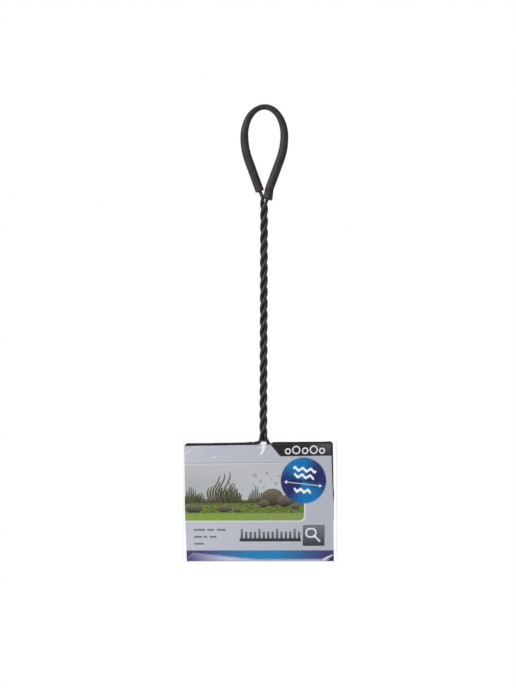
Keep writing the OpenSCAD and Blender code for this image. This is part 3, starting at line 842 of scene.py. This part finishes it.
# %% Shared groups: mottle and weave
mottle, ins, outs = new_group(
    "Mottle", {"Vector": "Vector", "Scale": "Float", "Dark": "Color", "Light": "Color",
               "Gloss low": "Float", "Gloss high": "Float"},
    {"Color": "Color", "Roughness": "Float", "Height": "Float"})
patches = noise_at(ins["Vector"], ins["Scale"], 4.0, Roughness=0.6)
fine = noise_at(ins["Vector"], ins["Scale"] * 9.0, 2.0)
share = ramp(patches, 0.32, 0.68)
feed(mixed(share, ins["Dark"], ins["Light"]), outs["Color"])
feed(ramp(share, 0.0, 1.0, ins["Gloss low"], ins["Gloss high"]), outs["Roughness"])
feed(patches * 0.6 + fine * 0.4, outs["Height"])

weave, ins, outs = new_group("Weave", {"Vector": "Vector", "Threads per mm": "Float"},
                             {"Height": "Float", "Shade": "Float"})
x, y = parts_of(in_mm(ins["Vector"]))
turn = ins["Threads per mm"] * math.pi
over, under = sine(x * turn), sine(y * turn)
pick = ramp(over * under, -0.05, 0.05)
height = abs(over) * (1.0 - pick) + abs(under) * pick
feed(height, outs["Height"])
# Shade is painted shade: darker where a thread dips under the crossing one.
feed(ramp(height, 0.1, 0.9, 0.55, 1.0), outs["Shade"])


def tone_of(at, scale, dark, light, gloss=(0.3, 0.5)):
    """Patches of two colours on the object's own coordinates."""
    return use(mottle, Vector=at["Object"], Scale=scale, Dark=rgb(*dark), Light=rgb(*light),
               Gloss_low=gloss[0], Gloss_high=gloss[1])


def mottled(name, scale, dark, light, gloss=None, bump=None, **values):
    """A finish in soft patches of two colours. gloss is the roughness of each, where it isn't
    one value, and bump is a strength and a height in mm."""
    look, sockets, at = new_material(name, **values)
    tone = tone_of(at, scale, dark, light, gloss or (0.3, 0.5))
    feed(tone["Color"], sockets["Base Color"])
    if gloss:
        feed(tone["Roughness"], sockets["Roughness"])
    if bump:
        feed(bumped(tone["Height"], *bump), sockets["Normal"])
    return look


print("groups:", len(bpy.data.node_groups))

# %% [markdown]
# ## Wire, steel and sleeve
# The wire's coat is soft black-brown PVC, smooth enough for thin highlights that run along each
# strand, with faint drawing lines along it. The steel shows only at the cut ends. The sleeve
# is a duller, greyer vinyl, so its highlight is broad.

# %% Coat, steel and sleeve finishes
coat_look, sockets, at = new_material("black_pvc", Specular_IOR_Level=0.3)
tone = tone_of(at, 160.0, (19, 17, 18), (32, 29, 29), (0.34, 0.46))
around, along = parts_of(at["UV"])
drawn = noise_at(value_of("CombineXYZ", {0: around * 260.0, 1: along * 2.5}), 1.0, 3.0)
feed(tone["Color"], sockets["Base Color"])
feed(tone["Roughness"], sockets["Roughness"])
feed(bumped(drawn + tone["Height"] * 0.4, 0.5, 0.03), sockets["Normal"])

steel_look = mottled("cut_steel", 900.0, (150, 150, 152), (205, 204, 200), (0.22, 0.45), (0.5, 0.03),
                     Metallic=1.0)
sleeve_look = mottled("grey_vinyl", 120.0, (45, 41, 44), (62, 58, 60), (0.36, 0.46), (0.35, 0.05),
                      Specular_IOR_Level=0.1)
print("finishes:", coat_look.name, steel_look.name, sleeve_look.name)

# %% [markdown]
# ## Cloth, thread and netting
# The hem is a plain woven black tape. The netting is a sheet whose material cuts the holes:
# crossed threads half a hole apart stay solid, and the rest is clear. The pattern follows the
# sheet's own UV map, so it bends round the folds with it.

# %% Hem, thread and seam finishes
hem_look, sockets, at = new_material("black_tape", Specular_IOR_Level=0.15, Sheen_Weight=0.08, Roughness=0.85)
cloth = use(weave, Vector=at["UV"], Threads_per_mm=1.6)
tone = tone_of(at, 90.0, (20, 18, 20), (36, 33, 35))
# The weave's painted shade darkens the tape where threads dip.
feed(mixed(cloth["Shade"], rgb(12, 11, 12), tone["Color"]), sockets["Base Color"])
feed(bumped(cloth["Height"], 0.8, 0.12), sockets["Normal"])

thread_look = mottled("black_thread", 700.0, (40, 38, 40), (74, 70, 72), bump=(0.8, 0.06),
                      Specular_IOR_Level=0.4, Sheen_Weight=0.3, Roughness=0.6)

seam_look, sockets, at = new_material("overlocked_edge", Specular_IOR_Level=0.3, Sheen_Weight=0.3,
                                      Roughness=0.75)
slanted = value_of("Mapping", {"Vector": at["UV"], "Rotation": (0, 0, 0.5)})
cloth = use(weave, Vector=slanted, Threads_per_mm=1.3)
# The weave's painted shade darkens the roll where threads dip.
feed(mixed(cloth["Shade"], rgb(10, 9, 10), rgb(48, 45, 47)), sockets["Base Color"])
feed(bumped(cloth["Height"], 0.9, 0.12), sockets["Normal"])
print("finishes:", hem_look.name, thread_look.name, seam_look.name)

# %% Netting: holes in rows, each row half a hole along
MESH_PITCH = 1.15
net_look, sockets, at = new_material("black_netting", Specular_IOR_Level=0.3, Sheen_Weight=0.2, Roughness=0.7)
place = in_mm(at["UV"])
wobble = noise_at(place, 0.35, 1.0, out=1)
place = value_of("VectorMath", {0: wobble, 1: (0.5, 0.5, 0.0), 2: place}, operation="MULTIPLY_ADD")
x, y = parts_of(place)
row = y / MESH_PITCH
column = x / MESH_PITCH + abs(calc("FLOOR", row)) % 2.0 * 0.5
hole = length_of(abs(calc("FRACT", column + 50.0) - 0.5), abs(calc("FRACT", row) - 0.5))
feed(ramp(hole, 0.33, 0.39), sockets["Alpha"])
feed(mixed(ramp(hole, 0.36, 0.5), rgb(30, 28, 29), rgb(60, 57, 58)), sockets["Base Color"])
feed(bumped(hole, 0.6, 0.15), sockets["Normal"])
print("a hole every", MESH_PITCH, "mm")

# %% [markdown]
# ## The card's print
# Print is flat colour on a surface, so it belongs in the material. Every printed shape is a
# mask, 1 inside it and 0 outside, and the colours are laid over each other as inks are. One
# group makes all the masks: a rounded box, which is also a bar, a dot or a disc. Masks
# multiply where two have to agree. The picture, the round mark and the signs are plain
# designs: water plants, pebbles and bubbles, waves, a scale of ticks and a small net.

# %% Mask group: a rounded box
SHAPE_INPUTS = ("X", "Y", "Centre X", "Centre Y", "Half width", "Half height", "Corner", "Edge")
shape, ins, outs = new_group("Printed shape", dict.fromkeys(SHAPE_INPUTS, "Float"), {"Mask": "Float"})
side_x = abs(ins["X"] - ins["Centre X"]) - (ins["Half width"] - ins["Corner"])
side_y = abs(ins["Y"] - ins["Centre Y"]) - (ins["Half height"] - ins["Corner"])
beyond = length_of(most_of(side_x, 0.0), most_of(side_y, 0.0))
distance = beyond + calc("MINIMUM", most_of(side_x, side_y), 0.0) - ins["Corner"]
feed(calc("SUBTRACT", 0.5, distance / ins["Edge"], clamp=True), outs["Mask"])
print("inputs of a printed shape:", len(SHAPE_INPUTS))

# %% Helpers for the print
GREY_INK, WHITE_INK = rgb(66, 66, 72), rgb(232, 234, 236)
print_look, sockets, at = new_material("printed_board", Specular_IOR_Level=0.1)
place = in_mm(at["UV"])
from_left, V = parts_of(place)
U = from_left + (V * CARD_LEAN + 0.45)


def blot(x, y, half_w, half_h, corner, edge=0.25, on=None):
    """The mask of a rounded box at x, y in mm from the card's upper left corner. U is a little
    more than the distance from the left edge, by more as V grows, because the print stands
    upright on the leaning card."""
    across, down = on or (U, V)
    return use(shape, X=across, Y=down, Centre_X=x, Centre_Y=y, Half_width=half_w, Half_height=half_h,
               Corner=corner, Edge=edge)["Mask"]


def disc_at(x, y, r, edge=0.25):
    """The mask of a disc."""
    return blot(x, y, r, r, r, edge)


def either(*masks):
    """The mask of all that lies in any of the masks."""
    most = masks[0]
    for mask in masks[1:]:
        most = most_of(most, mask)
    return most


def noise(scale, detail=3.0, stretch=(1, 1, 1)):
    return noise_at(scaled(place, stretch), scale, detail)


# %% Ground, green line and the picture's ground
# The ground is painted a little darker towards the right: painted shade, as from the lamp on the left.
ink = mixed(ramp(U, 0.0, 118.0), rgb(186, 189, 199), rgb(176, 180, 190))
ink = mixed(ramp(V, 88.0, 92.0), ink, rgb(160, 165, 196))
ink = mixed(blot(39.0, 13.9, 39.5, 0.35, 0.3) * 0.55, ink, rgb(126, 142, 112))
ink = mixed(blot(39.0, 14.7, 39.5, 0.3, 0.3) * 0.6, ink, rgb(218, 221, 214))
picture_frame = blot(47.0, 37.6, 50.2, 23.4, 4.4) * ramp(V, 20.0, 34.0)
ink = mixed(picture_frame * 0.65, ink, rgb(222, 226, 222))
picture = blot(46.5, 37.6, 49.4, 22.5, 3.6) * ramp(U, 0.8, 1.2)

sky = mixed(ramp(U, 10.0, 90.0), rgb(174, 177, 180), rgb(196, 199, 201))
sky = mixed(ramp(V, 15.0, 30.0), rgb(188, 190, 194), sky)
hills = 41.2 + sine(U * 0.05 - 0.4) * 2.6 + (noise(0.25) - 0.5) * 3.5
moss = mixed(ramp(noise(0.5, 5.0, (0.7, 1.6, 1)), 0.35, 0.65), rgb(66, 80, 34), rgb(122, 142, 60))
moss = mixed(ramp(noise(1.7, 4.0), 0.52, 0.66) * 0.6, moss, rgb(52, 52, 36))
scene_ink = mixed(ramp(V - hills, -0.25, 0.35), sky, moss)
print("nodes in the print so far:", len(ink.tree.nodes))

# %% [markdown]
# The water plants are blades in a row of narrow cells. A random height for each cell, a taper
# towards the tip and a slow sway make a clump out of one formula.

# %% Water plants
def blades(left, right, foot, high, spacing, lean, seed):
    """A clump from left to right that stands on foot. A blade fills its cell by 1 - rise /
    height, where the height is random for each cell and lower towards the clump's sides."""
    rise = foot - V
    x = (U + sine(rise * 0.22) * lean) / spacing
    cell = calc("FLOOR", x)
    chance = value_of("TexWhiteNoise", {"W": cell + seed}, noise_dimensions="1D")
    side = (cell * spacing - (left + right) / 2) / ((right - left) / 2)
    crown = calc("SQRT", most_of(1.0 - side * side, 0.0))
    tall = (chance * 0.55 + 0.45) * (crown * high)
    width = calc("POWER", most_of(1.0 - rise / (tall + 0.01), 0.0), 0.32)
    inside = ramp(width * 0.5 - abs(calc("FRACT", x) - 0.5), -0.04, 0.10)
    return inside * ramp(rise, -1.0, 0.0), chance


CLUMPS = ((21.0, 45.0, 45.5, 19.0, 1.4, -2.2, 17.0), (1.0, 17.0, 45.0, 10.0, 1.2, -1.0, 63.0),
          (19.0, 47.0, 45.5, 27.0, 2.1, 2.6, 3.0), (50.0, 63.0, 44.5, 13.0, 1.5, -1.6, 40.0),
          (0.5, 15.0, 45.0, 15.0, 1.7, 1.2, 90.0))
for left, right, foot, high, spacing, lean, seed in CLUMPS:
    mask, chance = blades(left, right, foot, high, spacing, lean, seed)
    green = mixed(chance, rgb(50, 47, 34), rgb(86, 82, 58))
    green = mixed(ramp(V, foot - high, foot), mixed(0.35, green, rgb(112, 116, 70)), green)
    scene_ink = mixed(mask, scene_ink, green)
print("clumps of plants:", len(CLUMPS))

# %% Pebbles and bubbles
for x, y, half_w, half_h in ((71.0, 41.6, 8.6, 7.0), (80.6, 44.6, 6.2, 4.6), (64.0, 46.6, 4.6, 3.2),
                             (9.0, 50.6, 7.0, 3.0), (33.0, 50.6, 5.8, 2.6), (43.0, 52.0, 3.4, 1.6),
                             (89.0, 49.0, 3.6, 2.2)):
    rough = (noise(0.6, 2.0) - 0.5) * 2.0
    pebble = blot(0.0, y, half_h, half_h, half_h, 0.3, ((U + rough - x) * (half_h / half_w), V))
    stone = mixed(ramp(V, y - half_h, y + half_h * 0.8), rgb(120, 112, 96), rgb(46, 42, 38))
    stone = mixed(ramp(noise(2.2, 4.0), 0.5, 0.62) * 0.5, stone, rgb(64, 60, 50))
    scene_ink = mixed(pebble, scene_ink, stone)

for x, y, r in ((57.0, 24.0, 1.5), (61.5, 28.8, 1.0), (66.5, 22.5, 1.2), (70.0, 27.2, 0.8),
                (64.2, 33.6, 0.9), (73.6, 30.6, 1.3), (56.0, 31.5, 0.7), (76.0, 24.6, 0.8)):
    ring = disc_at(x, y, r, 0.3) - disc_at(x, y, r * 0.62, 0.3) * 0.75
    scene_ink = mixed(ring * 0.7, scene_ink, rgb(96, 98, 92))
strip = ramp(V + noise(0.4) * 0.8, 54.2, 54.9)
strip_ink = mixed(ramp(U, 20.0, 96.0), rgb(126, 152, 62), rgb(128, 148, 84))
ink = mixed(picture, ink, mixed(strip, scene_ink, strip_ink))
print("nodes in the print so far:", len(ink.tree.nodes))

# %% The dark corner and the bottom band
corner = ramp(U - (V * 0.84 + 69.5), -0.4, 0.4) * ramp(V, 9.0, 9.5, 1.0, 0.0)
# The dark corner turns grey towards its upper right: a painted sheen of the film over the print.
painted_sheen = ramp(U, 96.0, 117.0) * ramp(V, 0.0, 9.0, 0.8, 0.1)
ink = mixed(corner, ink, mixed(painted_sheen, rgb(30, 28, 33), rgb(92, 92, 98)))
for x, y, r in ((83.4, 5.4, 2.4), (90.0, 4.5, 3.3), (97.1, 5.2, 2.6), (104.0, 4.5, 3.3), (110.6, 5.4, 2.4)):
    ink = mixed(disc_at(x, y, r) - disc_at(x, y, r - 1.0), ink, rgb(226, 226, 228))

# Below a curved edge the bottom band gives way to a lavender-white wedge, darker purple at the left: a
# painted reflection of the film on the fold.
below = V - most_of(ramp(U, 7.5, 58.0, 86.5, 91.2), ramp(U, 2.5, 7.5, 91.4, 86.5))
painted_glare_ink = mixed(ramp(U, 5.0, 36.0), rgb(84, 82, 134), rgb(200, 202, 224))
ink = mixed(ramp(below, -0.8, 0.8) * ramp(V, 86.0, 87.0), ink, painted_glare_ink)
blue = mixed(ramp(U, 12.0, 52.0), rgb(72, 58, 110), rgb(32, 124, 178))
blue = mixed(ramp(U, 74.0, 112.0), blue, rgb(66, 58, 112))
ink = mixed(ramp(V, 83.6, 84.1) * ramp(below, -1.2, 0.8, 1.0, 0.0), ink, blue)
# A darker purple triangle in the bottom right corner: painted shade beyond the film's fold there.
ink = mixed(ramp(U + V * 1.35 - 239.6, -0.4, 0.4), ink, rgb(58, 50, 92))

# %% Grey bars, the scale of ticks and the square sign
for x, y, half_w in ((12.9, 67.4, 4.4), (22.0, 67.4, 2.7), (30.4, 67.4, 3.6), (11.8, 73.0, 3.2),
                     (17.7, 73.0, 1.4), (23.7, 73.0, 2.7), (12.6, 78.5, 3.8)):
    ink = mixed(blot(x, y, half_w, 0.75, 0.3) * 0.75, ink, GREY_INK)

TICK_EVERY = 3.5
step = (U - 44.9) / TICK_EVERY
longer = calc("COMPARE", calc("FLOOR", step) % 4.0, 0.0, 0.1)
ticks = ramp(abs(calc("FRACT", step) - 0.5), 0.23, 0.30, 1.0, 0.0)
ticks = ticks * ramp(V - (68.9 - longer * 2.3), -0.15, 0.15)
scale_bar = either(ticks, ramp(V, 74.0, 74.3)) * blot(69.3, 71.5, 24.4, 5.2, 0.3)
ink = mixed(scale_bar, ink, mixed(ramp(V, 66.5, 76.5), rgb(120, 126, 134), rgb(26, 26, 30)))

plate_ink = mixed(ramp(V, 63.6, 80.2), rgb(112, 120, 130), rgb(48, 52, 58))
ink = mixed(blot(103.8, 71.9, 8.7, 8.4, 0.7), ink, plate_ink)
hoop_sign = blot(101.6, 69.9, 4.4, 3.9, 3.4) - blot(101.6, 69.9, 3.2, 2.7, 2.3)
handle_sign = blot(180.4, 32.0, 5.4, 0.9, 0.6, 0.35, (U + V, U - V))
ink = mixed(either(hoop_sign, handle_sign) * 0.92, ink, WHITE_INK)
print("nodes in the print so far:", len(ink.tree.nodes))

# %% [markdown]
# The round mark has a finely toothed rim, and its blue runs from bright to dark and back like
# light on a disc: two bright sectors opposite each other. Waves and a plain arrow fill it.

# %% Round mark
MARK_X, MARK_Y, MARK_R, TEETH = 95.7, 28.5, 18.1, 60.0
MARK_TILT, BRIGHT_AT = math.radians(7), math.radians(71)
dx, dy = U - MARK_X, V - MARK_Y
angle = calc("ARCTAN2", dy, dx)
rim = sine(angle * TEETH) * 0.42 + MARK_R
disc = ramp(length_of(dx, dy) - rim, -0.15, 0.15, 1.0, 0.0)
glow = ramp(calc("COSINE", (angle - BRIGHT_AT) * 2.0), -0.7, 0.8)
disc_ink = mixed(glow, rgb(32, 40, 96), rgb(16, 112, 172))
tx = dx * math.cos(MARK_TILT) + dy * math.sin(MARK_TILT)
ty = dy * math.cos(MARK_TILT) - dx * math.sin(MARK_TILT)


def wave_line(y, half_w, half_t, high, length):
    """A line of half thickness half_t along y + high sin(2 pi x / length)."""
    curve = sine(tx * (2 * math.pi / length)) * high
    return blot(0.0, y, half_w, half_t, half_t, 0.3, (tx, ty - curve))


ARROW_Y = 2.6
waves = either(wave_line(-8.6, 9.4, 1.15, 1.0, 6.4), wave_line(-3.4, 8.2, 1.15, 1.0, 6.4))
head = 15.2 - abs(tx)
heads = ramp(head * 0.6 - abs(ty - ARROW_Y), -0.1, 0.15) * ramp(head, 2.2, 2.5, 1.0, 0.0)
white = either(waves, wave_line(8.0, 7.0, 1.25, 0.9, 5.6), heads)
disc_ink = mixed(white * 0.94, disc_ink, rgb(236, 240, 244))
disc_ink = mixed(blot(0.0, ARROW_Y, 14.0, 0.32, 0.3, 0.3, (tx, ty)) * 0.75, disc_ink, rgb(214, 228, 240))
ink = mixed(disc, ink, disc_ink)
print("nodes in the whole print:", len(ink.tree.nodes))

# %% Board finishes
ink = mixed(ramp(V - 93.6, -0.6, 0.6), ink, rgb(184, 187, 196))
feed(mixed(ramp(noise(3.0), 0.45, 0.7) * 0.015, ink, rgb(255, 255, 255)), sockets["Base Color"])
feed(ramp(noise(0.4), 0.3, 0.7, 0.28, 0.4), sockets["Roughness"])
feed(bumped(noise(0.09, 2.0), 0.35, 0.5), sockets["Normal"])

board_look = mottled("plain_board", 300.0, (206, 206, 204), (222, 222, 220), (0.7, 0.85), (0.3, 0.05),
                     Specular_IOR_Level=0.3)
cut_look = mottled("cut_board_edge", 900.0, (198, 198, 196), (226, 226, 224), bump=(0.4, 0.05),
                   Specular_IOR_Level=0.2, Roughness=0.9)
print("finishes:", print_look.name, board_look.name, cut_look.name)

# %% [markdown]
# ## Clear film
# Clear film is a window that only shows where it mirrors light or is creased. So its alpha is
# low face on and rises where the film turns away from the eye, showing its pale colour there as a
# painted reflection. It is high on the creases, where stressed film goes white, and that white
# also stands for the glints along them: painted glints. A mirror-like gloss on top gives the
# glints of the lamps.

# %% Film finish
film_look, sockets, at = new_material("clear_film", Roughness=0.06, Specular_IOR_Level=0.5)
# The crease mark whitens the film along the listed lines: painted glints.
crease = value_of("Attribute", {}, out="Fac", tree=film_look.node_tree, attribute_name="crease")
facing = value_of("LayerWeight", {"Blend": 0.35}, out="Facing", tree=film_look.node_tree)
streak = noise_at(at["UV"], 22.0, 4.0)
# Faint haze in streaks, plus a painted reflection that rises where the film turns away from the eye.
haze_and_edge_reflection = ramp(streak, 0.5, 0.8, 0.006, 0.03) + ramp(facing, 0.45, 1.0, 0.0, 0.42)
feed(calc("ADD", haze_and_edge_reflection, ramp(crease, 0.25, 0.9) * 0.8, clamp=True), sockets["Alpha"])
feed(mixed(crease, rgb(214, 214, 226), rgb(255, 255, 255)), sockets["Base Color"])
wrinkle = noise_at(at["UV"], 9.0, 3.0, Distortion=0.6)
feed(bumped(wrinkle, 0.6, 0.8), sockets["Normal"])
print("finish:", film_look.name)

# %% [markdown]
# ## Dressing the pieces
# Each piece gets its finish, rides on its body and takes the place of its plain solid.

# %% Pieces on their bodies
def finish_piece(piece, body, slot, stands_for, *materials):
    """Puts a piece on its body with its finishes, and hides the solid it stands for. The slot is not used."""
    for material in materials:
        piece.data.materials.append(material)
    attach(piece, body)
    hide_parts(stands_for)
    print(f"{piece.name}: {len(piece.data.polygons)} faces")


finish_piece(wire_coat, "net", "coating", "wire_coat", coat_look)
finish_piece(steel_core, "net", "steel", "steel_core", steel_look)
finish_piece(grip_sleeve, "net", "sleeve", "grip_sleeve", sleeve_look)
finish_piece(hem, "net", "hem", "hem_binding", hem_look)
finish_piece(thread, "net", "thread", "hem_thread", thread_look)
finish_piece(net, "net", "netting", "net_bag", net_look)
finish_piece(flange, "net", "netting", "net_bag", net_look)
finish_piece(seams[0], "net", "seam", "side_seam_left", seam_look)
finish_piece(seams[1], "net", "seam", "side_seam_right", seam_look)
finish_piece(card, "card", "card", "printed_card", print_look, board_look, cut_look)
finish_piece(film, "film", "film", "film_bag", film_look)

# %% [markdown]
# ## Light and surroundings
# The photograph is a cut-out on white. A white world shows to the camera and in mirror-like
# surfaces, while a softer one lights the object. Large lamps give an even light from the
# front, and two narrow ones make the thin highlights along the wire and in the film. The floor
# lies below the view and catches the object's shadow from other angles.

# %% World and lamps
world = bpy.data.worlds.new("studio")
bpy.context.scene.world = world
world.use_nodes = True
world.node_tree.nodes.clear()
ray = node("LightPath", {}, tree=world.node_tree).outputs
seen = most_of(Value(ray["Is Camera Ray"]),
               most_of(Value(ray["Is Glossy Ray"]), Value(ray["Is Transmission Ray"])))
back = value_of("Background", {"Color": mixed(seen, (0.18, 0.18, 0.19, 1), (1, 1, 1, 1)), "Strength": 1.0})
feed(back, node("OutputWorld", {}, tree=world.node_tree).inputs[0])


def lamp(name, at, size, power, aim_z=-190):
    """An area lamp at a place, in mm, that faces the net at a height."""
    data = bpy.data.lights.new(name, "AREA")
    data.shape, data.size, data.size_y = "RECTANGLE", size[0] * MM, size[1] * MM
    data.energy = power
    made = bpy.data.objects.new(name, data)
    bpy.context.collection.objects.link(made)
    made.location = Vector(at) * MM
    made.rotation_euler = (Vector((0, 0, aim_z)) - Vector(at)).to_track_quat("-Z", "Y").to_euler()


lamp("front_left", (-1250, -1080, 450), (700, 700), 29)
lamp("front_right", (900, -1200, 100), (700, 700), 3)
lamp("top_back", (-200, 900, 700), (700, 500), 11, aim_z=-150)
lamp("strip_left", (-420, -300, -150), (24, 700), 0.25)
lamp("strip_right", (520, -420, -120), (20, 600), 0.1)
print("lamps:", len(bpy.data.lights))

# %% Floor
FLOOR_R, FLOOR_Z, FLOOR_SIDES = 0.68, -0.60, 96
turn = np.linspace(0, 2 * math.pi, FLOOR_SIDES, endpoint=False)
floor_points = np.column_stack([FLOOR_R * np.cos(turn), FLOOR_R * np.sin(turn), FLOOR_Z + 0 * turn])
floor_mesh = bpy.data.meshes.new("floor")
floor_mesh.from_pydata(floor_points.tolist(), [], [list(range(FLOOR_SIDES))])
floor = bpy.data.objects.new("floor", floor_mesh)
bpy.context.collection.objects.link(floor)
floor_mesh.materials.append(mottled("pale_floor", 4.0, (232, 232, 232), (238, 238, 238),
                                    Specular_IOR_Level=0.1, Roughness=0.9))
